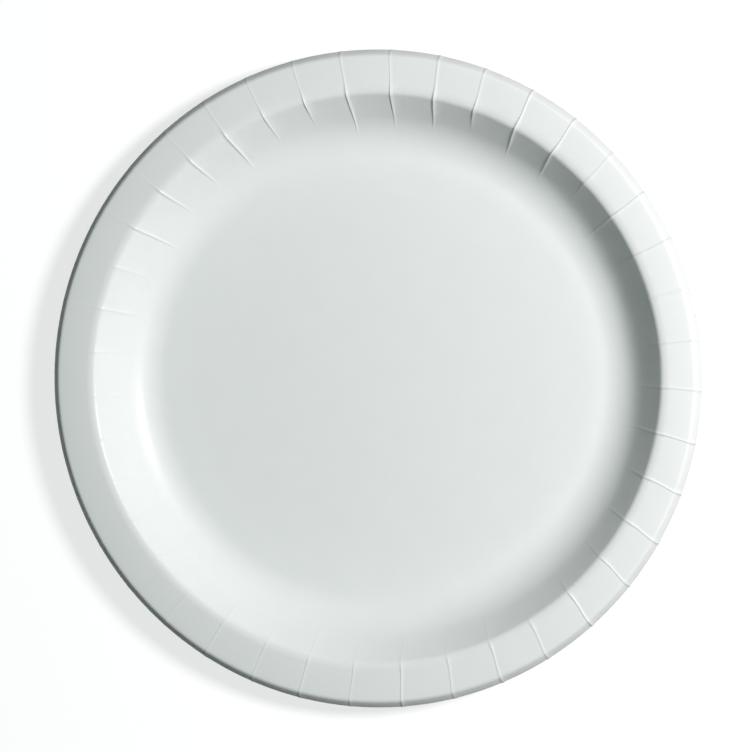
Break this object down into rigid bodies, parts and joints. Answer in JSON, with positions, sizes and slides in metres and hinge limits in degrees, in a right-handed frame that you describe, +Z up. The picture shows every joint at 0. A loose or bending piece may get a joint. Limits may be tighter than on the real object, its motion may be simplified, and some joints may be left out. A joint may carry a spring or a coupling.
{
  "type": "paper plate",
  "caption": "Round disposable plate of pressed white paperboard with a flat bottom, sloping wall, broad crimped flange and rolled-down lip.",
  "frame": {"origin": "On the table under the middle of the flat bottom; the underside of the bottom lies in Z = 0.", "axes": "+Z is up, out of the hollow side, along the axis of the plate. +X and +Y lie in the table plane; the first crimp stands 5.7 degrees from +X."},
  "size_m": [0.219, 0.219, 0.0157],
  "materials": {
    "board": "white coated paperboard, smooth with a low sheen"
  },
  "bodies": {
    "root": {"plate": "board"}
  },
  "joints": []
}
